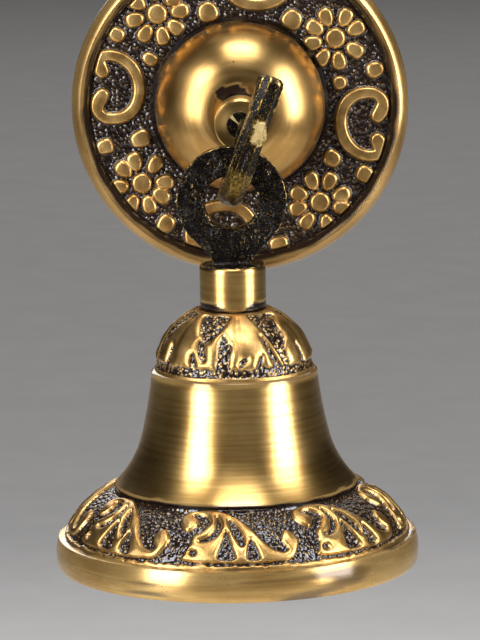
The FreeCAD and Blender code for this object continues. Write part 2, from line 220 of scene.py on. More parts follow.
def inside_petal(u, v, middle, heading, length, width, swell=0.22):
    """How far inside an egg-shaped petal each point lies; its broad end points along heading."""
    turn = math.radians(heading)
    du, dv = u - middle[0], v - middle[1]
    along = (du * math.cos(turn) + dv * math.sin(turn)) / (length / 2)
    half_width = width / 2 * (1 + swell * np.clip(along, -1, 1))
    across = (dv * math.cos(turn) - du * math.sin(turn)) / half_width
    outwards = (np.abs(along) ** PETAL_SQUARE + np.abs(across) ** PETAL_SQUARE) ** (1 / PETAL_SQUARE)
    return (1 - outwards) * width / 2


def inside_bar(u, v, stops):
    """How far inside a bar each point lies; the bar runs past its stops (x, y, width), corners cut."""
    route = np.array(stops, float)
    for _ in range(CORNER_ROUNDS):
        route = np.vstack((route[:1], corners_cut(route[:-1], route[1:]), route[-1:]))
    best = np.full(len(u), OUTSIDE)
    for (ax, ay, wide), (bx, by, next_wide) in zip(route, route[1:]):
        ex, ey = bx - ax, by - ay
        along = np.clip(((u - ax) * ex + (v - ay) * ey) / (ex * ex + ey * ey), 0, 1)
        away = np.hypot(u - ax - along * ex, v - ay - along * ey)
        best = np.maximum(best, (wide + along * (next_wide - wide)) / 2 - away)
    return best


def crowned(inside, reach):
    """0 at an edge, rising quickly to 1 at reach mm in, as a cast edge does."""
    part = np.clip(inside / reach, 0, 1)
    return np.sqrt(1 - (1 - part) ** 2)


def eased(value, low, high):
    """0 up to low, 1 from high on and an easy curve between; a high below low turns it round."""
    part = np.clip((value - low) / (high - low), 0, 1)
    return part * part * (3 - 2 * part)


def ornament(piece, shape):
    """Moves a piece's vertices out along their normals and marks each one's bareness: low where patina stays
    and, on some pieces, where shade is painted.
    shape takes the points in mm and gives the heights in mm and the bareness from 0 to 1."""
    mesh = piece.data
    points = np.empty(len(mesh.vertices) * 3)
    normals = np.empty(len(mesh.vertices) * 3, np.float32)
    mesh.vertices.foreach_get("co", points)
    mesh.vertex_normals.foreach_get("vector", normals)
    points = points.reshape(-1, 3)
    height, bare_of_patina_and_shade = shape(points / MM)
    moved = points + normals.reshape(-1, 3).astype(float) * (height * MM)[:, None]
    mesh.vertices.foreach_set("co", moved.ravel())
    # the attribute holds patina and, on some pieces, painted shade
    worn = mesh.attributes.new("bare_of_patina_and_shade", "FLOAT", "POINT")
    worn.data.foreach_set("value", bare_of_patina_and_shade.astype(np.float32))
    mesh.polygons.foreach_set("use_smooth", [True] * len(mesh.polygons))
    mesh.update()
    return piece


def stained_and_shaded(piece, shape):
    """Marks a turned piece's bareness without moving it, for patina and on some pieces painted shade: shape
    gives the bareness alone.
    """
    return ornament(piece, lambda points: (np.zeros(len(points)), shape(points)))


# ---------------------------------------------------------------- rosette
FIELD_INNER, FIELD_OUTER = 24.3, 43.4      # mm: the sunken field's inner and outer radius
FIELD_GROUND, FIELD_BACK = 5.0, 4.2        # mm from the wall: the field's ground and the band's hidden back
DAISY_EYE, PETAL_FAR = 3.1, 6.55           # mm: the eye's radius, and petal middles from the daisy's middle
PETAL_LONG, PETAL_WIDE = 5.9, 4.45         # mm
BUD_GROWTH, BUD_SWELL = 1.05, 0.12
DAISY_TALL, BUD_TALL, SCROLL_TALL = 1.7, 1.6, 1.9     # mm above the ground
PETAL_EDGE, BUD_EDGE, SCROLL_EDGE = 0.85, 0.95, 0.8   # mm over which each rounds up from its edge
DOMING, DOMING_REACH = 0.16, 2.2           # mm that a top still rises, over this many mm in from its edge
FIELD_GRIT, GRIT_TALL = 1.05, 0.42         # mm: the ground's grains, across and high
rosette_centre = (ROSETTE_X, 0, ROSETTE_Z)


def polar(radius, degrees):
    return radius * math.cos(math.radians(degrees)), radius * math.sin(math.radians(degrees))


# each daisy: distance and bearing from the rosette's middle, then its petals' headings
daisies = (
    (33.5, 34.5, (113, 64, 24, -32, -82, -124, -168, 152)),
    (35.6, 131, (194, 150, 238, 283, 323, 6, 43, 95)),
    (36.2, 217.5, (107, 142, 189, 243, 287, 326, 2, 54)),
    (36.3, 308.5, (110, 65, 18, -17, -73, -125, -165, 157)),
)
# buds: distance, bearing, length and width
buds = ((28.5, 108, 5.9, 5.9), (29.2, 151.6, 5.0, 3.8), (41, 149, 5.2, 4.2), (28.9, 58, 5.9, 5.9),
        (29.4, 12, 4.3, 4.1), (40.2, 14, 5.4, 4.6), (30.3, 197.5, 6.0, 5.0), (40.8, 196, 5.4, 4.6),
        (40.7, 237, 5.9, 5.0), (30.7, 329, 5.2, 5.0), (41.3, 330, 5.6, 5.0), (42.0, 284.6, 5.0, 5.6),
        (29.3, 238, 5.6, 5.2), (29.4, 288, 5.6, 5.2), (41.2, 60, 5.4, 4.6), (41.2, 107, 5.4, 4.6))
# one scroll: stops (outwards, sideways, width) from one curled end to the other
scroll = ((39.6, -3.6, 4.4), (40.6, -2.2, 4.7), (41.3, 0.2, 4.0), (39.8, 2.6, 3.5), (36.9, 3.3, 3.6),
          (33.2, 2.7, 3.8), (30.3, 0.4, 3.9), (28.9, -3.2, 3.8), (28.9, -7.6, 3.8), (30.6, -11.8, 3.9),
          (33.8, -14.5, 3.7), (37.6, -15.4, 3.5), (40.6, -14.4, 4.0), (40.2, -12.0, 4.9),
          (39.4, -10.6, 4.4))


def rosette_relief(points):
    """Daisies, buds and four scrolls standing on a gritty ground."""
    u, v = points[:, 0] - ROSETTE_X, points[:, 2] - ROSETTE_Z
    front = points[:, 1] < -FIELD_GROUND + 0.02
    radius = np.hypot(u, v)
    top = np.zeros(len(u))

    def press(inside, height, reach):
        doming = DOMING * np.clip(inside / DOMING_REACH, 0, 1)
        np.maximum(top, crowned(inside, reach) * (height - DOMING) + doming, out=top)

    for far, bearing, headings in daisies:
        x, y = polar(far, bearing)
        for heading in headings:
            dx, dy = polar(PETAL_FAR, heading)
            petal = inside_petal(u, v, (x + dx, y + dy), heading, PETAL_LONG, PETAL_WIDE)
            press(petal, DAISY_TALL, PETAL_EDGE)
        press(DAISY_EYE - np.hypot(u - x, v - y), DAISY_TALL, BUD_EDGE)
    for far, bearing, length, width in buds:
        bud = inside_petal(u, v, polar(far, bearing), bearing + 180, length * BUD_GROWTH, width * BUD_GROWTH,
                           BUD_SWELL)
        press(bud, BUD_TALL, BUD_EDGE)
    for quarter in range(4):
        turn = math.radians(90 * quarter)
        along = u * math.cos(turn) + v * math.sin(turn)
        across = v * math.cos(turn) - u * math.sin(turn)
        press(inside_bar(along, across, scroll), SCROLL_TALL, SCROLL_EDGE)
    ground = 1 - eased(top, 0.1, 0.7)
    field = eased(radius, 25.2, 25.9) * (1 - eased(radius, 42.6, 43.3))
    gutter = 0.45 * (1 - eased(radius, 24.5, 25.6))
    grit = grains(points, FIELD_GRIT)
    height = top * field + ground * (GRIT_TALL * grit * field - gutter)
    height += 0.10 * (lumps(points, 2.3) - 0.5) * field
    bare_of_patina_and_shade = np.clip(eased(top, 0.45, 1.0) + 0.35 * ground * eased(grit, 0.35, 0.8), 0, 1) * field
    return height * front, bare_of_patina_and_shade * front


field_loop = ([(FIELD_INNER, FIELD_BACK)]
              + straight((FIELD_INNER, FIELD_BACK), (FIELD_INNER, FIELD_GROUND), 2)
              + straight((FIELD_INNER, FIELD_GROUND), (FIELD_OUTER, FIELD_GROUND), 72)
              + [(FIELD_OUTER, FIELD_BACK)])
rosette_ornament = ornament(turned("rosette_ornament", field_loop, rosette_centre, AXIS_OUT, 832),
                            rosette_relief)
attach(rosette_ornament, "wall_bracket")
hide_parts("rosette")

# stem hole and dome, groove, floor under the ornament, rolled rim, then the flat edge and the hollow back
rosette_loop = ([(6, 24.0)] + straight((6, 24.0), (9.2, 24.0), 3) + bow((9.2, 24.0), (24.4, 9), 18.2, 1, 34)
                + straight((24.4, 9), (24.5, 4.6), 5)
                + straight((24.5, 4.6), (42.8, 4.6), 6)
                + bow((42.8, 4.6), (45.9, 8), 4.6, 1, 9) + bow((45.9, 8), (48.47, 3.6), 4.6, 1, 12)
                + straight((48.47, 3.6), (47.9, 0), 4) + [(44.6, 0), (44.6, 2), (21.4, 2), (21.4, 9)]
                + bow((21.4, 9), (11.1, 21), 15.2, -1, 12) + [(6, 21)])
RIM_INSIDE, RIM_TOP, DOME_GROOVE = 43.6, 46.2, 25.0     # mm: radii where the patina stays, and where the rim's painted shade is lightest


def dish_stain_and_shade(points):
    """Patina left inside the rim, in the groove round the dome and in a dark patch beside the stem hole, with
    painted shade over the whole rolled rim, lightest along its crest.
    """
    u, v = points[:, 0] - ROSETTE_X, points[:, 2] - ROSETTE_Z
    radius, depth = np.hypot(u, v), -points[:, 1]
    patch = 0.9 * (lumps(points, 4.0) - 0.5)
    rim = np.where(depth < 9, eased(np.abs(radius - RIM_INSIDE) + patch, 1.1, 2.3), 1)
    groove = np.where(depth < 9.6, eased(np.abs(radius - DOME_GROOVE) + patch, 0.5, 1.0), 1)
    # a dark patch up and left of the stem hole, on the dome's top
    run = eased(np.hypot((u + 2.4) / 4.9, (v - 5.8) / 2.9) + 0.15 * patch, 0.88, 1.02)
    run = np.where(depth > 15, run, 1)
    back = 0.5 + 0.5 * eased(depth, -0.1, 0.4)
    # painted shade: the whole rolled rim is darkened to stand for its dark reflections, least along the crest
    rubbed = 0.80 - 0.25 * eased(np.abs(radius - RIM_TOP), 0.8, 1.9)
    rim_painted_shade = np.where((radius > 43) & (depth < 9), rubbed, 1)
    return np.minimum(np.minimum(rim, groove), run) * back * rim_painted_shade


rosette_dish = stained_and_shaded(turned("rosette_dish", rosette_loop, rosette_centre, AXIS_OUT, 224), dish_stain_and_shade)
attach(rosette_dish, "wall_bracket")
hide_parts("rosette")

# ---------------------------------------------------------------- bell
bell_centre = (BELL_X, BELL_Y, 0)
SHOULDER_TOP, SHOULDER_FOOT, SHOULDER_ARC = (9.6, 48.7), (22.2, 65.6), 19.0
SKIRT_TOP, SKIRT_FOOT, SKIRT_ARC = (33.3, 98.5), (48.3, 111.8), 23.5


BAND_SLANT = (0.75, 0.65)     # how far a band's back lies in and down, as shares of its thickness
BACK_THINNING = 8             # the plain back keeps one front point in eight


def band_loop(top, foot, arc, rows, thick):
    """The outline of a band laid over an arc of the bell: a fine front and, thick mm behind, a plain back."""
    front = [top] + bow(top, foot, arc, -1, rows)
    inwards, down = BAND_SLANT
    back = [(r - thick * inwards, h + thick * down) for r, h in reversed(front[1:-1:BACK_THINNING])]
    return front + back


def around_bell(points):
    """Each point's angle round the bell in degrees, 0 at the front and positive to the right."""
    return np.degrees(np.arctan2(points[:, 0] - BELL_X, BELL_Y - points[:, 1]))


def along_band(points, top, foot, arc):
    """Each point's distance down the band from its top edge and its distance from the arc's centre, in mm."""
    middle_chord = np.array(((top[0] + foot[0]) / 2, (top[1] + foot[1]) / 2))
    way = np.array(foot) - np.array(top)
    chord = np.hypot(*way)
    inward = np.array((-way[1], way[0])) / chord
    centre = middle_chord + inward * math.sqrt(arc ** 2 - chord ** 2 / 4)
    r, h = np.hypot(points[:, 0] - BELL_X, points[:, 1] - BELL_Y), -points[:, 2]
    start = math.atan2(top[1] - centre[1], top[0] - centre[0])
    turn = (np.arctan2(h - centre[1], r - centre[0]) - start + math.pi) % (2 * math.pi) - math.pi
    return np.abs(turn) * arc, np.hypot(r - centre[0], h - centre[1])


def scaled(outline, per_degree):
    return [(a * per_degree, s) for a, s in outline]


LEAF_SCALE = 0.31                        # mm round the shoulder for one degree
LEAF_PAIRS, LEAF_START = 3, 10           # the pattern of two leaves repeats; it starts so many degrees round
SHOULDER_GRIT = 0.95                     # mm across
LEAF_TALL, HOLLOW_DEEP = 0.45, 0.6       # mm over and under the band
VEIN_DEEP, GRIT_HIGH = 0.26, 0.45        # mm
FRONT_SKIN = 0.03                        # mm: a point this near the band's front is on it
# hollows between the shoulder leaves, as (degrees from the front, mm down the band)
hollows_left = (
    ((-44, 2.2), (-40, 4.6), (-36, 6.6), (-33, 8.6), (-29, 9.6), (-26, 11.6), (-22, 11.2), (-19, 9.4),
     (-15, 8.4), (-12, 6.6), (-8, 4.2), (-3, 2.6), (-10, 1.5), (-25, 1.2), (-38, 1.4)),
    ((-30.5, 10.6), (-27, 11.5), (-24, 13.2), (-22.6, 16.5), (-25, 16.8), (-28.5, 15), (-31, 13)),
    ((-35, 14.5), (-32, 15.5), (-30, 18), (-28, 20.6), (-33, 20.6), (-34.5, 17.5)),
    ((-10, 9), (-7.5, 10), (-5.5, 11.5), (-2, 12), (-3.5, 15), (-4, 18), (-1.5, 20.6), (-14, 20.6),
     (-12.8, 17.5), (-12.2, 14), (-12.6, 11.5)),
)
hollows_right = (
    ((20, 1.5), (23, 3.4), (26.5, 5.5), (30, 8.6), (34, 12.2), (38, 16), (41.5, 19.5), (44.5, 19.8),
     (43.5, 17), (42.5, 14.6), (46, 12.4), (50, 11), (48.5, 8.2), (50, 6), (55, 4.2), (64, 2.6), (55, 1.5),
     (35, 1.2)),
    ((25, 9.2), (27.5, 11), (31, 14.4), (35, 17.8), (40, 20.8), (33, 20.8), (30, 17.5), (27.4, 14)),
    ((22.5, 15), (21, 17), (22.5, 18.6), (27, 19.4), (27, 20.8), (15, 20.8), (17, 18.4), (19.5, 16.5)),
    ((11, 15.6), (8, 17.2), (4.5, 18.6), (3.6, 17.4), (6.5, 16)),
    ((60, 12.4), (63, 14.6), (64, 18), (61, 20.8), (58.5, 20.6), (60.5, 17.5), (60.5, 15)),
)
leaf_vein = ((4, 3.4), (2.6, 9), (7, 14), (10, 19))
leaf_vein_widths = (2.4, 3.0, 3.2, 2.4)
side_vein = ((68, 4), (66, 17))
side_vein_widths = (1.5, 3.4)


def shoulder_relief(points):
    """Six broad smooth leaves that overlap, with gritty hollows between them."""
    angle = around_bell(points)
    s, from_centre = along_band(points, SHOULDER_TOP, SHOULDER_FOOT, SHOULDER_ARC)
    front = from_centre > SHOULDER_ARC - FRONT_SKIN
    hollow, vein = np.full(len(s), OUTSIDE), np.full(len(s), OUTSIDE)
    for pair in range(LEAF_PAIRS):
        local = (angle - 360 / LEAF_PAIRS * pair - LEAF_START + 180) % 360 - 180 + LEAF_START
        near = np.abs(local - 8) < 66
        u, v = local[near] * LEAF_SCALE, s[near]
        for outline in hollows_left + hollows_right:
            hollow[near] = np.maximum(hollow[near], inside_outline(u, v, scaled(outline, LEAF_SCALE)))
        for line, widths in ((leaf_vein, leaf_vein_widths), (side_vein, side_vein_widths)):
            stops = [(*place, wide) for place, wide in zip(scaled(line, LEAF_SCALE), widths)]
            vein[near] = np.maximum(vein[near], inside_bar(u, v, stops))
    ragged = 0.9 * (lumps(points, 1.3) - 0.5)
    border = np.minimum(s - 19.1 + ragged, 21.2 - s)
    hollow = np.maximum(hollow, border)
    edge = eased(s, 0.5, 1.4) * (1 - eased(s, 21.3, 21.7))
    leaf = crowned(-hollow + 0.12 * ragged, 1.7)
    grit = grains(points, SHOULDER_GRIT)
    ground = 1 - eased(leaf, 0.05, 0.6)
    height = LEAF_TALL * leaf - HOLLOW_DEEP * (1 - leaf) + ground * GRIT_HIGH * grit
    height -= VEIN_DEEP * eased(vein, -0.6, 1.6) * leaf
    height += 0.10 * (lumps(points, 2.6) - 0.5)
    bare_of_patina_and_shade = np.clip(eased(leaf, 0.3, 0.75) + 0.75 * ground * eased(grit, 0.2, 0.7), 0, 1)
    foot_rim = (1 - edge) * eased(s, 10, 12)
    return height * edge * front, np.maximum(bare_of_patina_and_shade, foot_rim) * front


FROND_SCALE = 0.74                       # mm round the skirt for one degree
SKIRT_GRIT, SKIRT_GRIT_HIGH = 1.0, 0.5   # mm
FROND_TALL, GROUND_DEEP = 0.15, 0.95     # mm over and under the band
FROND_DOMING, FROND_DOMED = 0.35, 2.4    # mm that a frond still rises, over this many mm in from its edge
# one skirt frond as (degrees, mm down the band): its outline, then the slits cut in it
frond = ((-19.0, 9.9), (-21.5, 8.3), (-23.6, 5.8), (-23, 3.4), (-21, 1.6), (-16, 0.7), (-10, 0.5),
         (-6, 1.3), (-2.5, 2.8), (0.5, 4.2), (3.5, 6.2), (6, 8.6), (8.5, 11.6), (11, 14), (13.8, 15.8),
         (16.6, 16.3), (17.7, 15.2), (15.8, 13.2), (15.8, 11.3), (17.3, 9.6), (18.6, 9.0), (20.6, 10.2),
         (22.3, 12.2), (22.2, 14), (20.8, 16.2), (18.6, 18.6), (13, 18.9), (0, 18.9), (-19.8, 18.8),
         (-18.4, 16.5), (-17, 14.2), (-16.8, 12), (-16.6, 10.8), (-13.5, 9.4), (-12.2, 7.6), (-10.4, 6.4),
         (-11, 4.8), (-13, 3.2), (-16, 2.7), (-19, 3.4), (-17.8, 3.8), (-15.8, 5), (-15.3, 6.8),
         (-16.8, 8.6))
frond_slits = (
    ((-8.8, 3.0), (-7, 4.6), (-5.9, 6.8), (-6.3, 9.2), (-8.5, 11.6), (-12, 12.8), (-14.4, 12.5),
     (-11.5, 11.6), (-9.3, 10), (-8, 8), (-8, 5.6)),
    ((-3.7, 4.3), (-1.5, 5.8), (0.8, 8.2), (2.4, 11), (2.6, 13), (1.8, 14.4), (0.2, 12.6), (-1.6, 10),
     (-2.9, 7.2)),
    ((-4, 8.6), (-2.9, 11.5), (-1.8, 14.5), (-0.2, 18), (-7.2, 18), (-6, 14.5), (-5, 11.5)),
    ((5, 11.5), (6.6, 14.5), (8.2, 18.2), (3.2, 18.2), (3.6, 15), (4.2, 13)),
    ((-16.6, 15.4), (-14.6, 15.2), (-14.2, 16.6), (-16, 17)),
)
# places of the eight fronds round the skirt, in degrees from the front
frond_places = (-66.5, -19.5, 27.5, 74.5, 118, 161, 204, 247)
FROND_MIDDLE = -19.5                     # the place at which the outline above is drawn


def skirt_relief(points):
    """Eight scrolled acanthus fronds on a gritty ground."""
    angle = around_bell(points)
    s, from_centre = along_band(points, SKIRT_TOP, SKIRT_FOOT, SKIRT_ARC)
    front = from_centre > SKIRT_ARC - FRONT_SKIN
    raised = np.full(len(s), OUTSIDE)
    for place in frond_places:
        local = (angle - place + 180) % 360 - 180 + FROND_MIDDLE
        near = np.abs(local) < 27
        u, v = local[near] * FROND_SCALE, s[near]
        whole = inside_outline(u, v, scaled(frond, FROND_SCALE))
        for slit in frond_slits:
            whole = np.minimum(whole, -inside_outline(u, v, scaled(slit, FROND_SCALE)))
        raised[near] = np.maximum(raised[near], whole)
    ragged = lumps(points, 1.2) - 0.5
    raised = np.maximum(raised, s - 19.5 + 0.9 * ragged)
    leaf = crowned(raised + 0.15 * ragged, 0.85)
    grit = grains(points, SKIRT_GRIT)
    ground = 1 - eased(leaf, 0.05, 0.6)
    edge = eased(s, 0.5, 1.0) * (1 - eased(s, 20.0, 20.6))
    height = FROND_TALL * leaf + FROND_DOMING * np.clip(raised / FROND_DOMED, 0, 1) - GROUND_DEEP * (1 - leaf)
    height += ground * SKIRT_GRIT_HIGH * grit + 0.12 * (lumps(points, 3.0) - 0.5) * leaf
    bare_of_patina_and_shade = np.clip(eased(leaf, 0.3, 0.75) + 0.5 * ground * eased(grit, 0.35, 0.8), 0, 1)
    return height * edge * front, bare_of_patina_and_shade * eased(s, 0.3, 0.9) * front


shoulder_loop = band_loop(SHOULDER_TOP, SHOULDER_FOOT, SHOULDER_ARC, 80, 1.6)
shoulder_leaves = ornament(turned("shoulder_leaves", shoulder_loop, bell_centre, AXIS_DOWN, 480),
                           shoulder_relief)
skirt_loop = band_loop(SKIRT_TOP, SKIRT_FOOT, SKIRT_ARC, 74, 1.8)
skirt_fronds = ornament(turned("skirt_fronds", skirt_loop, bell_centre, AXIS_DOWN, 1024), skirt_relief)

UNDER = 1.3     # mm that the bell's body lies under the ornament bands
shoulder_in, skirt_in = SHOULDER_TOP[0] - 0.4, SKIRT_TOP[0] - 0.6
# crown, shoulder under its leaves, step and waist, groove and skirt under its fronds, lip, then the lining
bell_loop = ([(4.3, 48.9), (SHOULDER_TOP[0] - UNDER, 48.9), (shoulder_in, 49.6)]
             + bow((shoulder_in, 49.6), (22.2 - UNDER, 65.3), 19, -1, 10)
             + [(22.2, 65.5), (22.7, 65.65), (23.1, 66)] + bow((23.1, 66), (26.5, 85), 118, 1, 22)
             + bow((26.5, 85), (34, 97.6), 29, 1, 18) + [(33.9, 98.0), (33.3, 98.5), (skirt_in, 99.6)]
             + bow((skirt_in, 99.6), (47.0, 112.2), 23.5, -1, 12) + [(48.3, 111.75), (50.0, 112.15)]
             + bow((50.0, 112.15), (50.3, 120.3), 14, -1, 14) + [(50.0, 120.6), (46.2, 120.6), (46, 120.3)]
             + bow((46, 120.3), (44.6, 112), 30, 1, 8) + bow((44.6, 112), (31, 100.6), 24, 1, 12)
             + bow((31, 100.6), (23, 85), 30, -1, 12) + bow((23, 85), (19.8, 66.5), 118, -1, 8)
             + bow((19.8, 66.5), (9.4, 52.2), 16.5, 1, 12) + [(4.3, 52.2)])
# the lining's radius at some drops, in mm
LINING_DROPS = (52, 58, 66.5, 85, 94, 100.6, 106, 112, 120)
LINING_RADII = (9.4, 16.6, 19.8, 23, 26.2, 31, 39, 44.6, 46)
# bareness left on the lip, which painted shade darkens in part, then inside the bell and under the step,
# where patina stays
LIP_PAINTED_SHADE, LINING_BARE, STEP_BARE = 0.76, 0.35, 0.3


def bell_stain_and_shade(points):
    """Patina left in the groove over the skirt, under the shoulder's step, in streaks round the lip and all
    through the inside; the whole lip is also darkened, partly as painted shade for its darker reflections."""
    radius, drop = np.hypot(points[:, 0] - BELL_X, points[:, 1] - BELL_Y), -points[:, 2]
    patch = 0.8 * (lumps(points, 5.0) - 0.5)
    groove = eased(np.abs(drop - 98.4) + patch, 0.7, 1.5)
    step = STEP_BARE + (1 - STEP_BARE) * eased(drop, 66.2, 67.3)
    ledge = eased(np.abs(radius - 49.0) + np.abs(drop - 112.0) + patch, 0.7, 1.5)
    # partly painted shade: the whole lip below the ledge is darkened for its darker reflections
    lip = np.where(drop > 112.3, LIP_PAINTED_SHADE, 1)
    streak = eased(lumps(points * (0.1, 0.1, 1), 1.4), 0.6, 0.9) * eased(drop, 112.5, 114)
    lining = np.interp(drop, LINING_DROPS, LINING_RADII)
    inside = np.where((drop > 53) & (drop < 119.5) & (radius < lining + 0.9), LINING_BARE, 1)
    marks = (groove, step, ledge, lip - 0.55 * streak, inside)
    return np.minimum.reduce(marks)


bell_body = stained_and_shaded(turned("bell_body", bell_loop, bell_centre, AXIS_DOWN, 256, 40), bell_stain_and_shade)
for piece in (shoulder_leaves, skirt_fronds, bell_body):
    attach(piece, "bell")
    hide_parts("bell_shell")

# ---------------------------------------------------------------- neck post and ring eye
NECK_RADIUS, NECK_FOOT = 9.2, 48.7      # mm
neck_loop = ([(4.9, 36.3), (8.5, 36.3), (9.05, 36.6), (NECK_RADIUS, 37.2)]
             + straight((NECK_RADIUS, 37.2), (NECK_RADIUS, 47.6), 20)
             + [(9.05, 48.3), (8.7, 48.75), (4.9, 48.75)])


def neck_painted_shade(points):
    """Painted shade round the post's foot where it meets the bell, climbing higher at its left and right
    sides.
    """
    height = NECK_FOOT + points[:, 2] + 0.9 * (lumps(points, 3.0) - 0.5)
    # painted shade: the dark band climbs higher where the post turns away to the left and right
    side = eased(np.abs(points[:, 0] - BELL_X) / NECK_RADIUS, 0.25, 0.65)
    mark = 0.9 + 1.8 * side
    return eased(height, mark - 0.4, mark + 0.4)


neck_post = stained_and_shaded(turned("neck_post", neck_loop, bell_centre, AXIS_DOWN, 128, 50), neck_painted_shade)
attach(neck_post, "bell")
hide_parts("hanger")

EYE_CUT = 36.6          # mm below the stud: the rough casting ends inside the neck post
CASTING_GRID = 0.30     # mm between the vertices of the rough casting
PIT_DEEP, GRIT_DEEP = 0.75, 0.26     # mm
CHATTER_PITCH = 2.7     # mm between the file's chatter marks


def eye_pits(points):
    """Sand pits, grit and chatter marks, cut inwards so that the casting never grows."""
    swell = lumps(points, 2.1)
    fine = lumps(points + 7, 0.9)
    crust = eased(lumps(points + 31, 4.5), 0.35, 0.75)
    along = points[:, 2] + 0.35 * points[:, 0] + 1.6 * lumps(points, 5.0)
    chatter = 0.5 + 0.5 * np.sin(2 * math.pi * along / CHATTER_PITCH)
    grit = grains(points, 1.0)
    depth = PIT_DEEP * (0.36 * swell + 0.3 * fine + 0.3 * chatter * crust * crust)
    depth += GRIT_DEEP * (1 - grit) * (0.3 + crust)
    return 0.02 - depth, 0.34 * eased(grit, 0.72, 0.95)


def rough_casting(name, node, lowest):
    """A CAD node's shape above a level, remeshed evenly so that it can be pitted."""
    bm = bmesh.new()
    bm.from_mesh(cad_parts[node].data)
    bmesh.ops.remove_doubles(bm, verts=bm.verts, dist=WELD)
    cut = bmesh.ops.bisect_plane(bm, geom=bm.verts[:] + bm.edges[:] + bm.faces[:], dist=1e-7,
                                 plane_co=(0, 0, -lowest * MM), plane_no=AXIS_DOWN, clear_outer=True)
    bmesh.ops.holes_fill(bm, edges=kept(cut["geom_cut"], bmesh.types.BMEdge), sides=0)
    bmesh.ops.recalc_face_normals(bm, faces=bm.faces)
    piece = finish_mesh(name, bm)
    grid = piece.modifiers.new("casting_grid", "REMESH")
    grid.mode, grid.voxel_size, grid.use_smooth_shade = "VOXEL", CASTING_GRID * MM, True
    even = bpy.data.meshes.new_from_object(piece.evaluated_get(bpy.context.evaluated_depsgraph_get()))
    piece.modifiers.clear()
    piece.data = even
    even.name = name
    return piece


ring_eye = ornament(rough_casting("ring_eye", "hanger", EYE_CUT), eye_pits)
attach(ring_eye, "bell")
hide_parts("hanger")

# ---------------------------------------------------------------- bent hook with its threaded tail
HOOK_LEAN, HOOK_SIDESTEP, HOOK_ROOT = math.radians(19.5), 2.8, 36.0
BAR_WIDE, BAR_THICK, BAR_CHAMFER = 7.1, 7.9, 1.9
LEG_TWIST = math.radians(-16)

lean_cos, lean_sin = math.cos(HOOK_LEAN), math.sin(HOOK_LEAN)
# bench coordinates: x sideways, y forward along the hook, z up its plane
hook_place = Matrix(((lean_cos, 0, lean_sin, HOOK_SIDESTEP * lean_cos * MM), (0, -1, 0, -HOOK_ROOT * MM),
                     (-lean_sin, 0, lean_cos, -HOOK_SIDESTEP * lean_sin * MM), (0, 0, 0, 1)))
hook_turn = np.array(hook_place.to_3x3())
hook_shift = -np.array(hook_place.to_translation()) @ hook_turn / MM
# the bar's way on the bench, in mm: out, down round the bend, up round the U, then along the rising leg
BEND_FORWARD, U_FORWARD, U_RADIUS, U_LEVEL, LEG_RISE = 1.7, 18.0, 10.0, -6.3, 24.1
LEG_FORWARD = U_FORWARD + U_RADIUS
TIP_SHARES = ((0.90, 0.6), (0.74, 0.5))     # the tip's two steps: the section's share, and mm upwards


def bar_section():
    """Half-sizes of the forged bar's eight-sided section, corner by corner, in mm."""
    wide, thick = BAR_WIDE / 2, BAR_THICK / 2
    corners = [(wide, thick - BAR_CHAMFER), (wide - BAR_CHAMFER, thick), (BAR_CHAMFER - wide, thick),
               (-wide, thick - BAR_CHAMFER), (-wide, BAR_CHAMFER - thick), (BAR_CHAMFER - wide, -thick),
               (wide - BAR_CHAMFER, -thick), (wide, BAR_CHAMFER - thick)]
    points = []
    for start, end in zip(corners, corners[1:] + corners[:1]):
        points += [start] + straight(start, end, 6)[:-1]
    return points


def swept_bar(name):
    """The bar's section carried along the bend, the U and the rising leg, then drawn in at the tip."""
    bm = bmesh.new()
    ring = [bm.verts.new(Vector((x, -0.8, z)) * MM) for x, z in bar_section()]
    edges = [bm.edges.new((ring[k], ring[(k + 1) % len(ring)])) for k in range(len(ring))]
    bmesh.ops.contextual_create(bm, geom=edges)
    moving = edges

    def run(vector, steps, twist=0.0, pivot=None):
        nonlocal moving
        for _ in range(steps):
            grown = bmesh.ops.extrude_edge_only(bm, edges=moving)["geom"]
            verts = kept(grown, bmesh.types.BMVert)
            moving = [e for e in kept(grown, bmesh.types.BMEdge) if set(e.verts) <= set(verts)]
            bmesh.ops.translate(bm, verts=verts, vec=Vector(vector) * MM / steps)
            if twist:
                bmesh.ops.rotate(bm, verts=verts, cent=Vector(pivot) * MM,
                                 matrix=Matrix.Rotation(twist / steps, 3, "Z"))

    def bend(forward, degrees, steps):
        nonlocal moving
        made = bmesh.ops.spin(bm, geom=moving, cent=Vector((0, forward, U_LEVEL)) * MM, axis=(1, 0, 0),
                              dvec=(0, 0, 0), angle=math.radians(degrees), steps=steps, use_merge=False)
        moving = kept(made["geom_last"], bmesh.types.BMEdge)

    run((0, 2.5, 0), 4)
    bend(BEND_FORWARD, -90, 14)
    bend(U_FORWARD, 180, 44)
    run((0, 0, LEG_RISE), 38, LEG_TWIST, (0, LEG_FORWARD, 0))
    tip = list({v for e in moving for v in e.verts})
    middle = sum((v.co for v in tip), Vector()) / len(tip)
    for share, lift in TIP_SHARES:
        run((0, 0, lift), 1)
        tip = list({v for e in moving for v in e.verts})
        bmesh.ops.scale(bm, vec=(share, share, 1), verts=tip, space=Matrix.Translation(-middle))
    bmesh.ops.contextual_create(bm, geom=moving)
    bmesh.ops.remove_doubles(bm, verts=bm.verts, dist=1e-7)
    bmesh.ops.transform(bm, matrix=hook_place, verts=bm.verts)
    bmesh.ops.triangulate(bm, faces=[f for f in bm.faces if len(f.verts) > 4])
    bmesh.ops.recalc_face_normals(bm, faces=bm.faces)
    return finish_mesh(name, bm, 28)


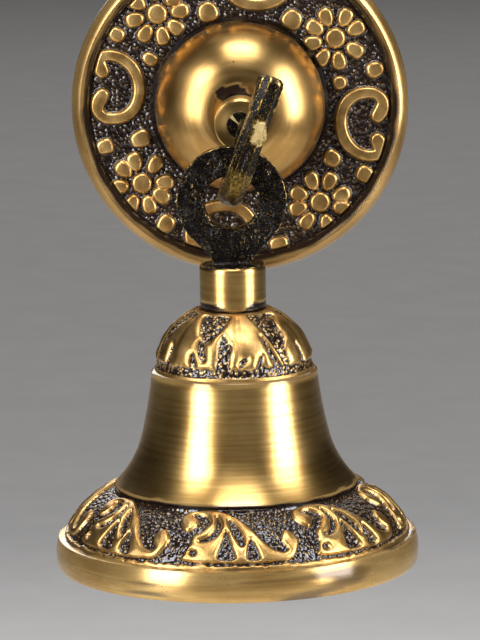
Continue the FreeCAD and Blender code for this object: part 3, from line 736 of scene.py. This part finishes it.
def hammered(points):
    """Lengthwise hammered facets with a few pits, cut inwards only."""
    swell, fine = lumps(points * (1, 1, 0.5), 2.4), lumps(points + 13, 0.8)
    bench = points @ hook_turn + hook_shift
    patch = 0.5 * (lumps(points, 2.6) - 0.5)
    sideways, forward, up = bench[:, 0], bench[:, 1], bench[:, 2]
    outward = np.where(up > U_LEVEL, forward - LEG_FORWARD,
                       np.hypot(forward - U_FORWARD, up - U_LEVEL) - U_RADIUS)
    twist = -LEG_TWIST * np.clip((up - U_LEVEL) / LEG_RISE, 0, 1)
    across = sideways * np.cos(twist) - outward * np.sin(twist)
    through = sideways * np.sin(twist) + outward * np.cos(twist)
    wide, thick = BAR_WIDE / 2, BAR_THICK / 2
    corner = np.minimum(np.hypot(np.abs(across) - wide, np.abs(through) - thick + BAR_CHAMFER),
                        np.hypot(np.abs(across) - wide + BAR_CHAMFER, np.abs(through) - thick))
    rubbed = 1 - eased(corner + 1.1 * (fine - 0.5), 0.1, 0.7)
    edge = rubbed * (forward > U_FORWARD - 1) * eased(lumps(points + 17, 2.4), 0.3, 0.6)
    from_patch = np.hypot((sideways - 1.3) / 3.2, (up - 3.4) / 5.2)
    worn = eased(from_patch + patch + 0.5 * (fine - 0.5), 1.2, 0.35) * (forward > LEG_FORWARD)
    # the lower bend is made half bare, brown-gold under the black
    lower_bend_brown = 0.52 * eased(up + 3 * patch, -6.0, -9.5) * (forward > U_FORWARD - 3)
    groove = 0.28 * eased(lumps(bench * (1, 1, 0.12) + 3, 1.3), 0.55, 0.8)
    depth = 0.36 * swell + 0.24 * fine * eased(lumps(points + 5, 3.0), 0.3, 0.7) + groove
    return 0.03 - depth, np.maximum(np.maximum(worn, lower_bend_brown), 0.62 * edge)


bent_hook = ornament(swept_bar("bent_hook"), hammered)
bent_hook.data.set_sharp_from_angle(angle=math.radians(40))

STUD_RADIUS, STUD_PITCH, STUD_END = 3.98, 1.25, 38.0
THREAD_DEEP = 0.62                         # mm
STUD_FACE, STUD_SIDE, STUD_HUB = 35.9, 3.95, 0.6
stud_loop = ([(STUD_HUB, STUD_FACE)] + straight((STUD_HUB, STUD_FACE), (STUD_SIDE, STUD_FACE), 16)
             + straight((STUD_SIDE, STUD_FACE), (STUD_SIDE, 34.9), 6)
             + straight((STUD_SIDE, 34.9), (STUD_SIDE, 4.0), 6)
             + [(3.4, 3.4)] + straight((3.4, 3.4), (3.4, 1.5), 2) + [(STUD_RADIUS, 0.9)]
             + straight((STUD_RADIUS, 0.9), (STUD_RADIUS, 1 - STUD_END), 185)
             + [(3.0, -STUD_END), (STUD_HUB, -STUD_END)])


def rolled_thread(points):
    """A right-hand thread of 1.25 mm pitch on the tail."""
    turn = np.arctan2(points[:, 2], points[:, 0]) / (2 * math.pi)
    phase = (points[:, 1] / STUD_PITCH + turn) % 1
    threaded = eased(points[:, 1], 0.2, 1.4) * (np.hypot(points[:, 0], points[:, 2]) > STUD_RADIUS - 0.1)
    bare_of_patina_and_shade = 0.5 * eased(points[:, 1], -30, -20)
    return -THREAD_DEEP * (1 - np.abs(2 * phase - 1)) * threaded, bare_of_patina_and_shade


threaded_tail = ornament(turned("threaded_tail", stud_loop, (0, 0, 0), AXIS_OUT, 64), rolled_thread)
for piece in (bent_hook, threaded_tail):
    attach(piece, "wall_bracket")
    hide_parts("hook")

# ---------------------------------------------------------------- collar that the hook comes out of
COLLAR_RADIUS, COLLAR_BORE = 7.3, 4.02
GROOVE_DEEP, COLLAR_BEVEL = 0.55, 0.35
collar_front, collar_back = -collar_low.y / MM, -collar_high.y / MM
collar_loop = ([(COLLAR_BORE, collar_back), (COLLAR_RADIUS, collar_back)]
               + straight((COLLAR_RADIUS, collar_back), (COLLAR_RADIUS, collar_front - 2.4), 8)
               + [(COLLAR_RADIUS - GROOVE_DEEP, collar_front - 2.0),
                  (COLLAR_RADIUS - GROOVE_DEEP, collar_front - 1.3),
                  (COLLAR_RADIUS, collar_front - 0.9), (COLLAR_RADIUS, collar_front - COLLAR_BEVEL),
                  (COLLAR_RADIUS - COLLAR_BEVEL, collar_front)]
               + straight((COLLAR_RADIUS - COLLAR_BEVEL, collar_front), (COLLAR_BORE, collar_front), 4))
stem_collar = stained_and_shaded(turned("stem_collar", collar_loop, (0, 0, 0), AXIS_OUT, 96),
                      lambda points: eased(np.abs(-points[:, 1] - collar_front + 1.6), 0.4, 0.8))
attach(stem_collar, "wall_bracket")
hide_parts("hook_collar")


# ---------------------------------------------------------------- finishes
PATINA_GLOSS = 0.12      # how rough the patina left on brushed brass is
ROUND_SLOWING = 0.05     # brush lines change this much more slowly round the axis than across it


def new_finish(name):
    finish = bpy.data.materials.new(name)
    finish.use_nodes = True
    finish.node_tree.nodes.clear()
    return finish, finish.node_tree


def noise(tree, place, scale, detail, roughness=0.5):
    feeds = {"Vector": place, "Scale": scale, "Detail": detail, "Roughness": roughness}
    return add(tree, "ShaderNodeTexNoise", feeds).outputs["Fac"]


def ranged(tree, value, low=0.0, high=1.0, least=0.0, most=1.0):
    """A value stretched from low to high onto least to most, and held there."""
    feeds = {"Value": value, "From Min": low, "From Max": high, "To Min": least, "To Max": most}
    return add(tree, "ShaderNodeMapRange", feeds).outputs["Result"]


def ramp(tree, value, *stops):
    """Colours along a value; each stop is a place and a colour as sRGB hex."""
    stops = [(place, tint(code)) for place, code in stops]
    return add(tree, "ShaderNodeValToRGB", {"Fac": value}, stops).outputs["Color"]


def blend(tree, share, low, high):
    return add(tree, "ShaderNodeMix", {0: share, 6: low, 7: high}, data_type="RGBA").outputs[2]


def reckon(tree, operation, *values, clamp=False):
    feeds = dict(enumerate(values))
    return add(tree, "ShaderNodeMath", feeds, operation=operation, use_clamp=clamp).outputs[0]


def bump(tree, height, strength, distance):
    feeds = {"Height": height, "Strength": strength, "Distance": distance}
    return add(tree, "ShaderNodeBump", feeds).outputs[0]


def seal(tree, feeds):
    shader = add(tree, "ShaderNodeBsdfPrincipled", feeds)
    add(tree, "ShaderNodeOutputMaterial", {"Surface": shader.outputs[0]})


def sources(tree):
    """The place in the object, and the metal's bareness there, low under patina and under painted shade."""
    place = add(tree, "ShaderNodeTexCoord").outputs["Object"]
    return place, add(tree, "ShaderNodeAttribute", attribute_name="bare_of_patina_and_shade").outputs["Fac"]


def antique_casting(name):
    """Cast brass blackened all over, then polished: bright tops, glossy black-brown patina in the hollows."""
    finish, tree = new_finish(name)
    place, bare_of_patina_and_shade = sources(tree)
    cloud = noise(tree, place, 260.0, 3.0)
    scratch = noise(tree, place, 2400.0, 2.0)
    metal = ramp(tree, cloud, (0.32, "#957240"), (0.5, "#B38E52"), (0.68, "#C8A468"))
    stain = ramp(tree, scratch, (0.35, "#0D0907"), (0.6, "#1F150F"), (0.75, "#4A3724"))
    level = ranged(tree, reckon(tree, "MULTIPLY_ADD", scratch, 0.35, bare_of_patina_and_shade), 0.34, 0.92)
    seal(tree, {"Base Color": blend(tree, level, stain, metal), "Metallic": ranged(tree, level),
                "Roughness": ranged(tree, level, least=0.14, most=0.38),
                "Normal": bump(tree, scratch, 0.35, 0.00012)})
    return finish


def lathe_brushed(name, centre, axis, gloss=0.31, stretch=0.7, lines=0.16, light="#D2AD69", dark="#B48D4E"):
    """Brass finished on the lathe with fine cloth: satin lines round the axis, lines mm apart, so that
    highlights stretch across them; patina, and on some pieces painted shade, darkens it where its bareness
    attribute is low."""
    finish, tree = new_finish(name)
    place, bare_of_patina_and_shade = sources(tree)
    shift = tuple(-c * MM for c in centre)
    centred = add(tree, "ShaderNodeMapping", {"Vector": place, "Location": shift}).outputs[0]
    split = add(tree, "ShaderNodeSeparateXYZ", {"Vector": centred}).outputs
    flat = {"Y": ("X", "Z"), "Z": ("X", "Y")}[axis]
    level = add(tree, "ShaderNodeCombineXYZ", {"X": split[flat[0]], "Y": split[flat[1]]}).outputs[0]
    radius = add(tree, "ShaderNodeVectorMath", {0: level}, operation="LENGTH").outputs["Value"]
    across = reckon(tree, "SUBTRACT", radius, split[axis])
    slowed = {0: level, 1: (ROUND_SLOWING,) * 3}
    slow = add(tree, "ShaderNodeVectorMath", slowed, operation="MULTIPLY").outputs[0]
    around = add(tree, "ShaderNodeSeparateXYZ", {"Vector": slow}).outputs
    threads = add(tree, "ShaderNodeCombineXYZ", {"X": around[0], "Y": around[1], "Z": across}).outputs[0]
    fine = noise(tree, threads, 1 / (lines * MM * 2), 2.0, 0.6)
    broad = noise(tree, threads, 900.0, 3.0)
    cloud = noise(tree, centred, 60.0, 5.0)
    nick = add(tree, "ShaderNodeTexVoronoi", {"Vector": centred, "Scale": 120.0}).outputs["Distance"]
    half = reckon(tree, "MULTIPLY", reckon(tree, "ADD", broad, cloud), 0.5)
    metal = ramp(tree, half, (0.40, dark), (0.60, light))
    nicked = blend(tree, ranged(tree, nick, 0.02, 0.045), tint("#4A3418"), metal)
    satin = ranged(tree, cloud, 0.3, 0.7, gloss - 0.02, gloss + 0.03)
    rough = add(tree, "ShaderNodeMix", {0: bare_of_patina_and_shade, 2: PATINA_GLOSS, 3: satin}, data_type="FLOAT").outputs[0]
    grain = add(tree, "ShaderNodeTangent", direction_type="RADIAL", axis=axis).outputs[0]
    seal(tree, {"Base Color": blend(tree, bare_of_patina_and_shade, tint("#160E09"), nicked), "Metallic": ranged(tree, bare_of_patina_and_shade),
                "Roughness": rough, "Normal": bump(tree, fine, 0.25, 0.00008), "Anisotropic": stretch,
                "Anisotropic Rotation": 0.25, "Tangent": grain})
    return finish


def black_casting(name):
    """Black patina over rough sand-cast brass, rubbed through on edges, in specks and where its bareness
    attribute is high.
    """
    finish, tree = new_finish(name)
    place, bare_of_patina_and_shade = sources(tree)
    sharp = add(tree, "ShaderNodeNewGeometry").outputs["Pointiness"]
    grain = noise(tree, place, 1500.0, 4.0, 0.65)
    speck = noise(tree, place, 2600.0, 2.0)
    edge = ranged(tree, sharp, 0.515, 0.57)
    fleck = ranged(tree, speck, 0.56, 0.67, most=0.66)
    rubbed = reckon(tree, "MAXIMUM", edge, fleck)
    patch = reckon(tree, "ADD", bare_of_patina_and_shade, reckon(tree, "MULTIPLY_ADD", grain, 0.9, -0.45))
    level = reckon(tree, "MAXIMUM", rubbed, patch, clamp=True)
    colour = ramp(tree, level, (0.15, "#080605"), (0.4, "#21180A"), (0.65, "#77602C"), (0.9, "#D9BC80"))
    rugged = reckon(tree, "ADD", speck, grain)
    seal(tree, {"Base Color": colour, "Metallic": ranged(tree, level, high=0.6),
                "Roughness": ranged(tree, level, least=0.12, most=0.40), "Specular IOR Level": 0.15,
                "Normal": bump(tree, rugged, 0.6, 0.0002)})
    return finish


def plain_metal(name, light, dark, gloss, grain_mm):
    """Small turned or plated hardware: an even metal with faint clouding and fine grain."""
    finish, tree = new_finish(name)
    place = add(tree, "ShaderNodeTexCoord").outputs["Object"]
    cloud = noise(tree, place, 220.0, 3.0)
    grain = noise(tree, place, 1 / (2 * grain_mm * MM), 2.0)
    seal(tree, {"Base Color": ramp(tree, cloud, (0.35, dark), (0.65, light)), "Metallic": 1.0,
                "Roughness": ranged(tree, cloud, least=gloss - 0.05, most=gloss + 0.08),
                "Normal": bump(tree, grain, 0.25, 0.00005)})
    return finish


def pressed_fibre(name):
    """Red vulcanised fibre, pressed in sheet: dull, with a faint felted mottle."""
    finish, tree = new_finish(name)
    felt = noise(tree, add(tree, "ShaderNodeTexCoord").outputs["Object"], 900.0, 4.0)
    seal(tree, {"Base Color": ramp(tree, felt, (0.35, "#4A1C14"), (0.65, "#6B2A1E")), "Roughness": 0.62,
                "Normal": bump(tree, felt, 0.3, 0.0001)})
    return finish


def dress(piece, finish):
    piece.data.materials.clear()
    piece.data.materials.append(finish)


cast_brass = antique_casting("antique_cast_brass_polished")
for piece in (rosette_ornament, shoulder_leaves, skirt_fronds):
    dress(piece, cast_brass)
dress(bell_body, lathe_brushed("bell_brass_lathe_brushed", bell_centre, "Z"))
dress(neck_post, lathe_brushed("neck_brass_lathe_brushed", bell_centre, "Z"))
dress(rosette_dish, lathe_brushed("rosette_brass_lathe_brushed", rosette_centre, "Y", gloss=0.29,
                                  stretch=0.35, light="#B99559", dark="#94723F"))
dress(stem_collar, lathe_brushed("collar_brass_lathe_brushed", (0, 0, 0), "Y", lines=0.3))
patina = black_casting("black_patina_sand_casting")
for piece in (ring_eye, bent_hook, threaded_tail):
    dress(piece, patina)
zinc = plain_metal("zinc_plated_steel_bright", "#B9BCBE", "#8E9296", 0.3, 0.12)
for node in ("hook_washer", "hook_nut", "crown_nut", "clapper_eyebolt", "clapper_link", "clapper_rod"):
    dress(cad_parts[node], zinc)
turned_brass = plain_metal("turned_brass_plain", "#D0AA60", "#A67E3A", 0.26, 0.15)
for node in ("clapper_ball", "clapper_end_nut"):
    dress(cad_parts[node], turned_brass)
dress(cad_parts["crown_washer"], pressed_fibre("vulcanised_fibre_pressed"))

# ---------------------------------------------------------------- floor, light and camera
FLOOR_DROP, FLOOR_HALF = 0.45, 9.0     # m
bm = bmesh.new()
bmesh.ops.create_grid(bm, x_segments=1, y_segments=1, size=FLOOR_HALF)
bmesh.ops.translate(bm, verts=bm.verts, vec=(0, 0, -FLOOR_DROP))
floor = finish_mesh("floor", bm)
floor_finish, tree = new_finish("pale_matt_paper")
mottle = noise(tree, add(tree, "ShaderNodeTexCoord").outputs["Object"], 30.0, 2.0)
seal(tree, {"Base Color": ramp(tree, mottle, (0.3, "#D3D1CD"), (0.7, "#D8D6D2")), "Roughness": 0.9})
dress(floor, floor_finish)

world = bpy.data.worlds.new("studio")
bpy.context.scene.world = world
world.use_nodes = True
backdrop = world.node_tree.nodes["Background"].inputs
backdrop["Color"].default_value, backdrop["Strength"].default_value = tint("#8A8A90"), 0.04

PANEL_AIM = Vector((0, -0.04, -0.04))
PANEL_WHITE = "#F6F7FF"


def soft_box(name, bearing, rise, distance, wide, tall, watts, colour=PANEL_WHITE):
    """A soft light panel aimed at the bell; bearing is 0 in front and positive to the right."""
    data = bpy.data.lights.new(name, "AREA")
    data.shape, data.size, data.size_y = "RECTANGLE", wide, tall
    data.energy, data.color = watts, tint(colour)[:3]
    lamp = bpy.data.objects.new(name, data)
    turn, lift = math.radians(bearing), math.radians(rise)
    away = Vector((math.sin(turn) * math.cos(lift), -math.cos(turn) * math.cos(lift), math.sin(lift)))
    lamp.location = PANEL_AIM + distance * away
    lamp.rotation_euler = (PANEL_AIM - lamp.location).to_track_quat("-Z", "Y").to_euler()
    bpy.context.scene.collection.objects.link(lamp)


soft_box("left_panel", -45, 16, 0.85, 0.34, 0.75, 13)
soft_box("right_panel", 61, 14, 0.85, 0.38, 0.75, 13)
soft_box("top_panel", 6, 74, 0.9, 0.45, 0.40, 8)
soft_box("rear_panel", 188, 22, 1.2, 0.6, 0.6, 4, "#FFFFFF")
soft_box("floor_panel", 180, 52, 5.0, 5.0, 5.0, 80, "#FFFFFF")

CAMERA_PLACE = (-0.001084, -1.161, 0.1419)     # m
LOOK_DOWN, CAMERA_ROLL = 9.94, -1.0            # degrees
LENS_LENGTH, SENSOR_WIDE = 227.4, 36.0         # mm
lens = bpy.data.cameras.new("studio_camera")
lens.lens, lens.sensor_width, lens.sensor_fit = LENS_LENGTH, SENSOR_WIDE, "AUTO"
lens.clip_start, lens.clip_end = 0.05, 30
camera = bpy.data.objects.new("studio_camera", lens)
tilt = Matrix.Rotation(math.radians(90 - LOOK_DOWN), 4, "X")
camera.rotation_euler = (tilt @ Matrix.Rotation(math.radians(CAMERA_ROLL), 4, "Z")).to_euler()
camera.location = CAMERA_PLACE
bpy.context.scene.collection.objects.link(camera)
bpy.context.scene.camera = camera
bpy.context.scene.view_settings.view_transform = "Standard"
